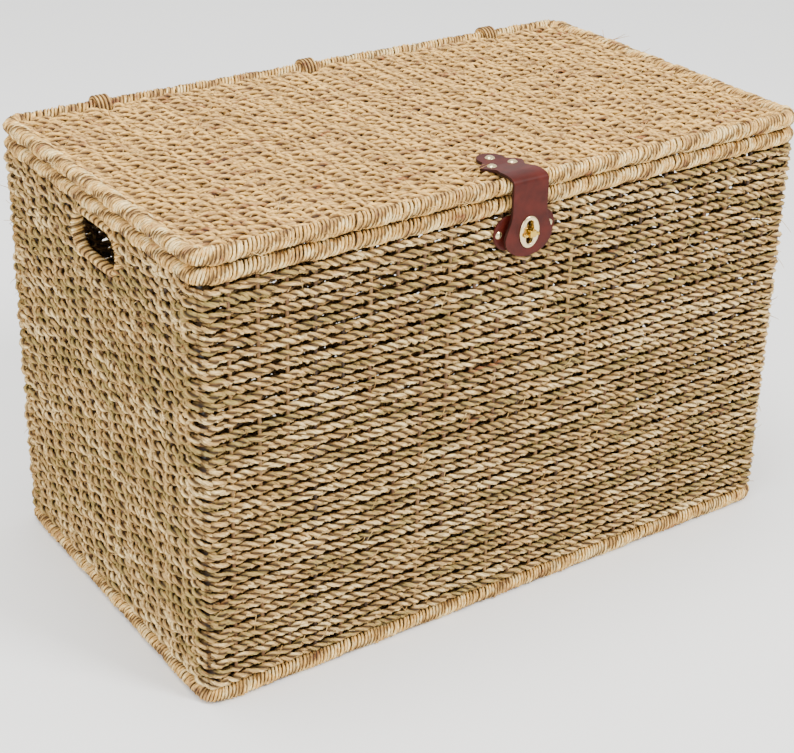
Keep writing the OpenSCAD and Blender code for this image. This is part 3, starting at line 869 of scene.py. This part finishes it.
def build_strap(sizes, colours):
    """The strap and its flap, cut from one piece of leather and bent over the rim."""
    path = strap_path(sizes.leather)
    across = 24
    mesh = bpy.data.meshes.new("leather_strap")
    bm = bmesh.new()
    bmesh.ops.create_grid(bm, x_segments=across, y_segments=len(path) - 1, size=1.0, calc_uvs=True)
    bm.verts.ensure_lookup_table()
    layer = bm.loops.layers.uv.verify()
    travelled = [0.0]
    for a, b in zip(path, path[1:]):
        travelled.append(travelled[-1] + math.hypot(b[0] - a[0], b[1] - a[1]))
    for vertex in bm.verts:
        row = round((vertex.co.y + 1) / 2 * (len(path) - 1))
        forward, drop = path[row]
        half = max(0.4 * MM, strap_half_width(forward, drop))
        x = vertex.co.x * half
        for loop in vertex.link_loops:
            loop[layer].uv = (x, travelled[row])
        vertex.co = (STRAP_X + x, FRONT_Y - forward, LID_Z - drop)
    hole = [f for f in bm.faces if abs(f.calc_center_median().z - LOCK_Z) < 11.6 * MM
            and abs(f.calc_center_median().x - STRAP_X) < 5.4 * MM
            and f.calc_center_median().y < FRONT_Y - RIM_R]
    bmesh.ops.delete(bm, geom=hole, context="FACES")
    bmesh.ops.recalc_face_normals(bm, faces=bm.faces)
    bm.to_mesh(mesh)
    bm.free()
    piece = link("leather_strap", mesh, material_named("dyed_leather", dyed_leather, "dyed_leather",
                                                       colours.leather, 0.46),
                 material_named("leather_edge", dyed_leather, "leather_edge", colours.leather_edge, 0.6))
    solid = piece.modifiers.new("thickness", "SOLIDIFY")
    solid.thickness = sizes.leather
    solid.offset = 0.0
    solid.use_even_offset = True
    solid.material_offset_rim = 1
    bevel = piece.modifiers.new("burnished edge", "BEVEL")
    bevel.width = 0.55 * MM
    bevel.segments = 3
    bevel.limit_method = "ANGLE"
    bevel.angle_limit = math.radians(50)
    final = evaluated_mesh(piece, "leather_strap")
    shade_smooth(final)
    return link("leather_strap", final)


def ring_edges(bm, place, count):
    """Edges of a closed loop of points, each placed by a function of its angle."""
    made = bmesh.ops.create_circle(bm, segments=count, radius=1.0)
    for vertex in made["verts"]:
        vertex.co = place(math.atan2(vertex.co.y, vertex.co.x))
    return list({edge for vertex in made["verts"] for edge in vertex.link_edges})


def slot_point(angle, half_w, half_h):
    """A point of an upright slot's outline, half_w by half_h, facing along the angle."""
    straight = half_h - half_w
    x, z = half_w * math.cos(angle), half_w * math.sin(angle)
    spread = smooth_step(-0.25, 0.25, math.sin(angle)) * 2 - 1
    return x, z + straight * spread


def build_eyelet(colours):
    """Domed oval eyelet with an upright slot and a collar through the leather."""
    half_w, half_h = (EYELET[1].x - EYELET[0].x) / 2, (EYELET[1].z - EYELET[0].z) / 2
    slot_w, slot_h, wall = 3.5 * MM, 10 * MM, 0.8 * MM
    front, back = EYELET[0].y, EYELET[1].y
    face = front + 1.6 * MM

    def oval(inset, y):
        return lambda a: (STRAP_X + (half_w - inset) * math.cos(a), y, LOCK_Z + (half_h - inset) * math.sin(a))

    def slot(grow, y):
        def place(angle):
            x, z = slot_point(angle, slot_w + grow, slot_h + grow)
            return STRAP_X + x, y, LOCK_Z + z
        return place

    loops = [
        oval(0.0, face), oval(0.0, face - 0.5 * MM), oval(0.35 * MM, front + 0.45 * MM),
        oval(1.1 * MM, front + 0.08 * MM), oval(2.0 * MM, front), slot(1.2 * MM, front + 0.1 * MM),
        slot(0.35 * MM, front + 0.35 * MM), slot(0.0, front + 0.9 * MM), slot(0.0, back),
        slot(wall, back), slot(wall, face)]
    bm = bmesh.new()
    rings = [ring_edges(bm, place, 56) for place in loops]
    for a, b in zip(rings, rings[1:] + rings[:1]):
        bmesh.ops.bridge_loops(bm, edges=a + b)
    bmesh.ops.recalc_face_normals(bm, faces=bm.faces)
    mesh = bpy.data.meshes.new("eyelet")
    bm.to_mesh(mesh)
    bm.free()
    shade_smooth(mesh)
    return link("eyelet", mesh, material_named("plated_brass", plated_metal, "plated_brass", colours.brass, 0.22))


def build_knob(colours):
    """Turn knob: a spindle with a collar, a square hub and a bar across it, all with soft edges."""
    inner, outer = FRONT_Y - KNOB[1].y, FRONT_Y - KNOB[0].y
    half_bar = (KNOB[1].x - KNOB[0].x) / 2
    bm = bmesh.new()

    def block(size, middle, bevel):
        made = bmesh.ops.create_cube(bm, size=1.0)
        bmesh.ops.scale(bm, vec=size, verts=made["verts"])
        bmesh.ops.translate(bm, vec=middle, verts=made["verts"])
        edges = list({edge for vertex in made["verts"] for edge in vertex.link_edges})
        bmesh.ops.bevel(bm, geom=edges, offset=bevel, segments=3, profile=0.5, affect="EDGES", material=-1)

    def spindle(radius, start, end):
        made = bmesh.ops.create_cone(
            bm, cap_ends=True, segments=24, radius1=radius, radius2=radius, depth=end - start)
        bmesh.ops.rotate(bm, cent=(0, 0, 0), matrix=Matrix.Rotation(math.pi / 2, 3, "X"), verts=made["verts"])
        bmesh.ops.translate(bm, vec=(STRAP_X, FRONT_Y - (start + end) / 2, LOCK_Z), verts=made["verts"])

    collar, bar_drop = 0.5 * MM, 1.5 * MM
    spindle(2.5 * MM, inner + collar, outer - 3 * MM)
    spindle(3.2 * MM, inner, inner + collar)
    hub_wide, hub_thick, hub_high = 6.4 * MM, 4.4 * MM, 6.0 * MM
    bar_thick, bar_high = 2.4 * MM, 2.6 * MM
    block((hub_wide, hub_thick, hub_high), (STRAP_X, FRONT_Y - outer + hub_thick / 2, LOCK_Z), 0.8 * MM)
    block((2 * half_bar, bar_thick, bar_high),
          (STRAP_X, FRONT_Y - outer + hub_thick - bar_thick / 2, LOCK_Z - bar_drop), 0.7 * MM)
    bmesh.ops.recalc_face_normals(bm, faces=bm.faces)
    mesh = bpy.data.meshes.new("turn_lock_knob")
    bm.to_mesh(mesh)
    bm.free()
    return link("turn_lock_knob", mesh,
                material_named("polished_brass", plated_metal, "polished_brass", colours.polished_brass, 0.2))


def build_patch(sizes, colours):
    """Leather patch under the lock, a stadium with rounded edges and holes hidden by the rivets."""
    half_w, half_h = (PATCH[1].x - PATCH[0].x) / 2, (PATCH[1].z - PATCH[0].z) / 2
    front, back = PATCH[0].y, PATCH[1].y
    hole = 4.5 * MM

    def stadium(grow, y):
        def place(angle):
            z, x = slot_point(angle - math.pi / 2, half_h + grow, half_w + grow)
            return STRAP_X - x, y, LOCK_Z + z
        return place

    def circle(y):
        return lambda a: (STRAP_X + hole * math.cos(a), y, LOCK_Z + hole * math.sin(a))

    soft = 0.4 * MM
    loops = [stadium(0, back - soft), stadium(0, front + soft), stadium(-soft, front), circle(front),
             circle(back), stadium(-soft, back)]
    bm = bmesh.new()
    rings = [ring_edges(bm, place, 64) for place in loops]
    for a, b in zip(rings, rings[1:] + rings[:1]):
        bmesh.ops.bridge_loops(bm, edges=a + b)
    bmesh.ops.recalc_face_normals(bm, faces=bm.faces)
    mesh = bpy.data.meshes.new("leather_patch")
    bm.to_mesh(mesh)
    bm.free()
    return link("leather_patch", mesh,
                material_named("dyed_leather", dyed_leather, "dyed_leather", colours.leather, 0.46))


def fibre_runs(places, length, seed):
    """Loose fibre ends. Each place is (point, outward direction, direction along the row)."""
    rng = random.Random(seed)
    runs = []
    for point, out, along in places:
        reach = length * rng.uniform(0.4, 1.0) ** 2
        side = out.cross(along)
        heading = (along * rng.choice((-1, 1)) * rng.uniform(0.3, 1.0) + out * rng.uniform(0.15, 0.9)
                   + side * rng.uniform(-0.7, 0.5)).normalized()
        bend = (side * rng.uniform(-0.6, 0.6) - out * rng.uniform(0.0, 0.6))
        run = []
        for i in range(6):
            t = i / 5
            place = point + heading * reach * t + bend * reach * t * t * 0.5
            place.z = max(place.z, 1 * MM)
            run.append((place, 0.0, 1.0 - 0.6 * t))
        runs.append(run)
    return runs


def trunk_fibre_places(count, seed):
    """Places on the walls where a fibre end has worked loose."""
    rng = random.Random(seed)
    places = []
    while len(places) < count:
        s = rng.uniform(0, ROUND)
        z = rng.uniform(BOTTOM_Z + 6 * MM, TOP_Z + 3 * MM)
        point, out = outline(s)
        from_hand = abs(point.y - (HAND[0].y + HAND[1].y) / 2)
        if abs(point.x) > SIDE_X - 1 * MM and hand_hole_half(z) > 0 and from_hand < HAND_CLEAR:
            continue
        rim = z > TOP_Z - RIM_R or z < BOTTOM_Z + RIM_R
        lift = 4.5 * MM if not rim else 6.5 * MM
        places.append((Vector((point.x, point.y, z)) + out * lift, out, Vector((-out.y, out.x, 0))))
    return places


def lid_fibre_places(count, seed):
    """Places on the lid and its rim where a fibre end has worked loose."""
    rng = random.Random(seed)
    places = []
    while len(places) < count:
        x = rng.uniform(-SIDE_X, SIDE_X)
        y = rng.uniform(FRONT_Y, REAR_Y - REAR_CLEAR)
        if abs(x - STRAP_X) < STRAP_CLEAR and y < FRONT_Y + STRAP_END + 6 * MM:
            continue
        places.append((Vector((x, y, LID_Z + 4.3 * MM)), UP, Vector((1, 0, 0))))
    for _ in range(count // 3):
        s = rng.uniform(0, ROUND)
        point, out = outline(s)
        under_strap = abs(point.x - STRAP_X) < STRAP_CLEAR and point.y < FRONT_Y + 5 * MM
        if point.y > REAR_Y - REAR_CLEAR or under_strap:
            continue
        places.append((Vector((point.x, point.y, LID_Z)) + out * 6.5 * MM, out, Vector((-out.y, out.x, 0))))
    return places


# The stage: soft lights as (name, place, watts, size), and the camera's place and aim
SOFT_LIGHTS = (
    ("key", (0.9, -2.2, 2.6), 115, 0.8),
    ("fill", (-2.4, -1.2, 1.6), 45, 1.6),
    ("top", (-0.4, 0.2, 3.0), 62, 1.2))
AIR_STRENGTH = 1.35
CAMERA_PLACE = (-0.8311, -1.1819, 0.8957)
CAMERA_TURN, CAMERA_LIFT, CAMERA_ROLL = -34.80, 25.42, 1.32
LENS_MM, SENSOR_MM, RISE = 78.5244, 36, -0.08


# Operators, one for each piece or group of like pieces

class TRUNK_OT_walls(bpy.types.Operator):
    """Weaves the four walls of the box, each row two strands turned about each other at every stake"""
    bl_idname = "trunk.walls"
    bl_label = "Weave walls"
    bl_options = {"REGISTER", "UNDO"}

    def execute(self, context):
        sizes, colours = settings()
        cord = material_named("seagrass_cord", wall_seagrass, colours)
        for wall in WALLS:
            count = 2 if wall in ("front", "back") else 1
            for part, runs in zip(("lower", "upper"), parts_of(wall_rows(wall, sizes), count)):
                name = f"{wall}_wall_cords" if count == 1 else f"{wall}_wall_{part}_cords"
                mesh = sweep(name, runs, sizes.strand, sides=8, plies=2, twist_mode="Z_UP")
                piece = link(name, mesh, cord)
                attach(piece, "trunk")
                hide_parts(f"{wall}_weave")
        return {"FINISHED"}


class TRUNK_OT_panels(bpy.types.Operator):
    """Weaves the lid and the base"""
    bl_idname = "trunk.panels"
    bl_label = "Weave lid and base"
    bl_options = {"REGISTER", "UNDO"}

    def execute(self, context):
        sizes, colours = settings()
        pale = material_named("pale_seagrass_cord", lid_seagrass, colours)
        rows = flat_rows(LID_Z, sizes.lid_rows, sizes.ring_step, 100, sizes, loops=True)
        for name, runs in zip(("lid_front_cords", "lid_rear_cords"), parts_of(rows, 2)):
            piece = link(name, sweep(name, runs, sizes.strand, sides=8, plies=2, twist_mode="Z_UP"), pale)
            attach(piece, "lid")
            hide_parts("lid_weave")
        rows = flat_rows(BOTTOM_Z, sizes.lid_rows, BASE_STEP, 200, sizes)
        base = sweep("base_cords", parts_of(rows, 1)[0], BASE_STRAND, sides=8, plies=2, twist_mode="Z_UP")
        piece = link("base_cords", base, material_named("seagrass_cord", wall_seagrass, colours))
        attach(piece, "trunk")
        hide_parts("base_weave")
        return {"FINISHED"}


class TRUNK_OT_rims(bpy.types.Operator):
    """Coils cord round the three rims"""
    bl_idname = "trunk.rims"
    bl_label = "Coil rims"
    bl_options = {"REGISTER", "UNDO"}

    def execute(self, context):
        sizes, colours = settings()
        cord = material_named("coiled_seagrass", rim_seagrass, colours)
        for name, z, floor, body, node in (
                ("bottom_rim_coil", BOTTOM_Z, 0.0, "trunk", "bottom_rim_wrap"),
                ("top_rim_coil", TOP_Z, None, "trunk", "top_rim_wrap"),
                ("lid_rim_coil", LID_Z, None, "lid", "lid_rim_wrap")):
            piece = link(name, rim_coil(name, z, sizes, floor), cord)
            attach(piece, body)
            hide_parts(node)
        return {"FINISHED"}


class TRUNK_OT_hand_holes(bpy.types.Operator):
    """Wraps cord round the edges of the two hand holes"""
    bl_idname = "trunk.hand_holes"
    bl_label = "Bind hand holes"
    bl_options = {"REGISTER", "UNDO"}

    def execute(self, context):
        sizes, colours = settings()
        cord = material_named("coiled_seagrass", rim_seagrass, colours)
        for side, x in (("left", -SIDE_X), ("right", SIDE_X)):
            name = f"{side}_hand_hole_coil"
            piece = link(name, hand_hole_coil(name, x, sizes), cord)
            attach(piece, "trunk")
            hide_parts(f"{side}_hand_hole_binding")
        return {"FINISHED"}


class TRUNK_OT_hinges(bpy.types.Operator):
    """Lashes the lid to the box with three loops of cord"""
    bl_idname = "trunk.hinges"
    bl_label = "Lash hinges"
    bl_options = {"REGISTER", "UNDO"}

    def execute(self, context):
        sizes, colours = settings()
        cord = material_named("coiled_seagrass", rim_seagrass, colours)
        piece = link("hinge_loop_cords", loop_turns(sizes), cord)
        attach(piece, "trunk")
        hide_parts("hinge_loops")
        return {"FINISHED"}


class TRUNK_OT_strap(bpy.types.Operator):
    """Cuts, bends and edges the leather strap"""
    bl_idname = "trunk.strap"
    bl_label = "Make strap"
    bl_options = {"REGISTER", "UNDO"}

    def execute(self, context):
        sizes, colours = settings()
        piece = build_strap(sizes, colours)
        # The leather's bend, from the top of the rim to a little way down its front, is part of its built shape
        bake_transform(piece)
        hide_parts("lid_strap", "strap_flap")
        piece = build_patch(sizes, colours)
        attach(piece, "trunk")
        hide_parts("lock_patch")
        return {"FINISHED"}


class TRUNK_OT_lock(bpy.types.Operator):
    """Makes the eyelet in the flap and the knob that turns through it"""
    bl_idname = "trunk.lock"
    bl_label = "Make turn lock"
    bl_options = {"REGISTER", "UNDO"}

    def execute(self, context):
        colours = settings()[1]
        piece = build_eyelet(colours)
        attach(piece, "flap")
        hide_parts("eyelet_front")
        piece = build_knob(colours)
        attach(piece, "knob")
        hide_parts("turn_knob")
        return {"FINISHED"}


class TRUNK_OT_fibres(bpy.types.Operator):
    """Scatters the loose fibre ends that hand weaving leaves"""
    bl_idname = "trunk.fibres"
    bl_label = "Scatter loose fibres"
    bl_options = {"REGISTER", "UNDO"}

    def execute(self, context):
        sizes, colours = settings()
        cord = material_named("coiled_seagrass", rim_seagrass, colours)
        for name, body, places, seed, slot in (
                ("trunk_loose_fibres", "trunk", trunk_fibre_places(900, 11), 12, "seagrass_weave"),
                ("lid_loose_fibres", "lid", lid_fibre_places(420, 13), 14, "seagrass_lid")):
            mesh = sweep(name, fibre_runs(places, sizes.fibre, seed), 0.8 * MM, sides=4)
            piece = link(name, mesh, cord)
            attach(piece, body)
        return {"FINISHED"}


class TRUNK_OT_metal_and_cane(bpy.types.Operator):
    """Finishes the rods, stakes, rivets and plates that the frame brings"""
    bl_idname = "trunk.metal_and_cane"
    bl_label = "Finish metal and cane"
    bl_options = {"REGISTER", "UNDO"}

    def execute(self, context):
        colours = settings()[1]
        steel = material_named("black_painted_steel", painted_rod, colours)
        cane = material_named("peeled_cane", peeled_cane, colours)
        brass = material_named("plated_brass", plated_metal, "plated_brass", colours.brass, 0.22)
        zinc = material_named("zinc_plated_steel", plated_metal, "zinc_plated_steel", linear("#a9abad"), 0.35)
        finishes = {
            steel: ("box_frame", "lid_frame"),
            cane: ("front_stakes", "back_stakes", "left_stakes", "right_stakes", "base_stakes", "lid_stakes"),
            brass: ("lock_patch_rivets", "lock_patch_washers", "lock_base", "lock_backing_plate", "strap_rivets",
                    "strap_washers", "eyelet_back"),
            zinc: ("spindle_washer",)}
        for material, nodes in finishes.items():
            for node in nodes:
                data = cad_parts[node].data
                data.materials.clear()
                data.materials.append(material)
        return {"FINISHED"}


class TRUNK_OT_stage(bpy.types.Operator):
    """Sets the floor, the lights and the camera"""
    bl_idname = "trunk.stage"
    bl_label = "Set stage"
    bl_options = {"REGISTER", "UNDO"}

    def execute(self, context):
        colours = settings()[1]
        bm = bmesh.new()
        bmesh.ops.create_grid(bm, x_segments=4, y_segments=4, size=6.0)
        mesh = bpy.data.meshes.new("studio_floor")
        bm.to_mesh(mesh)
        bm.free()
        floor = link("studio_floor", mesh, material_named("pale_studio_floor", studio_floor, colours))
        world = bpy.data.worlds.new("studio_air")
        world.use_nodes = True
        background = world.node_tree.nodes["Background"]
        background.inputs["Color"].default_value = linear("#ffffff")
        background.inputs["Strength"].default_value = AIR_STRENGTH
        bpy.context.scene.world = world
        for name, place, power, size in SOFT_LIGHTS:
            light = bpy.data.lights.new(name, "AREA")
            light.energy = power
            light.size = size
            lamp = bpy.data.objects.new(name, light)
            lamp.location = place
            lamp.rotation_euler = (Vector((0, 0, 0.2)) - Vector(place)).to_track_quat("-Z", "Y").to_euler()
            bpy.context.collection.objects.link(lamp)
        data = bpy.data.cameras.new("camera")
        data.sensor_width = SENSOR_MM
        data.lens = LENS_MM
        data.shift_y = RISE
        camera = bpy.data.objects.new("camera", data)
        bpy.context.collection.objects.link(camera)
        turn, lift, roll = (math.radians(angle) for angle in (CAMERA_TURN, CAMERA_LIFT, CAMERA_ROLL))
        ahead = Vector((-math.sin(turn) * math.cos(lift), math.cos(turn) * math.cos(lift), -math.sin(lift)))
        right = Vector((math.cos(turn), math.sin(turn), 0))
        up = right.cross(ahead)
        x = right * math.cos(roll) + up * math.sin(roll)
        y = up * math.cos(roll) - right * math.sin(roll)
        camera.matrix_world = Matrix.LocRotScale(
            Vector(CAMERA_PLACE), Matrix((x, y, -ahead)).transposed().to_quaternion(), None)
        bpy.context.scene.camera = camera
        return {"FINISHED"}


class TRUNK_PT_panel(bpy.types.Panel):
    """Lists the trunk's settings and the steps that build it"""
    bl_idname = "TRUNK_PT_panel"
    bl_label = "Trunk"
    bl_space_type = "VIEW_3D"
    bl_region_type = "UI"
    bl_category = "Trunk"

    def draw(self, context):
        for group in settings():
            for key in group.__annotations__:
                self.layout.prop(group, key)
        for step in STEPS:
            self.layout.operator(step.bl_idname)


STEPS = (
    TRUNK_OT_stage, TRUNK_OT_walls, TRUNK_OT_panels, TRUNK_OT_rims, TRUNK_OT_hand_holes, TRUNK_OT_hinges,
    TRUNK_OT_strap, TRUNK_OT_lock, TRUNK_OT_fibres, TRUNK_OT_metal_and_cane)
CLASSES = (TrunkSizes, TrunkColours, *STEPS, TRUNK_PT_panel)


def register():
    """Adds the settings, operators and panel."""
    for cls in CLASSES:
        bpy.utils.register_class(cls)
    bpy.types.Scene.trunk_sizes = bpy.props.PointerProperty(type=TrunkSizes)
    bpy.types.Scene.trunk_colours = bpy.props.PointerProperty(type=TrunkColours)


def unregister():
    """Takes them away again."""
    del bpy.types.Scene.trunk_sizes
    del bpy.types.Scene.trunk_colours
    for cls in reversed(CLASSES):
        bpy.utils.unregister_class(cls)


def main():
    """Builds the trunk step by step."""
    register()
    for step in STEPS:
        group, name = step.bl_idname.split(".")
        getattr(getattr(bpy.ops, group), name)()


if __name__ == "__main__":
    main()
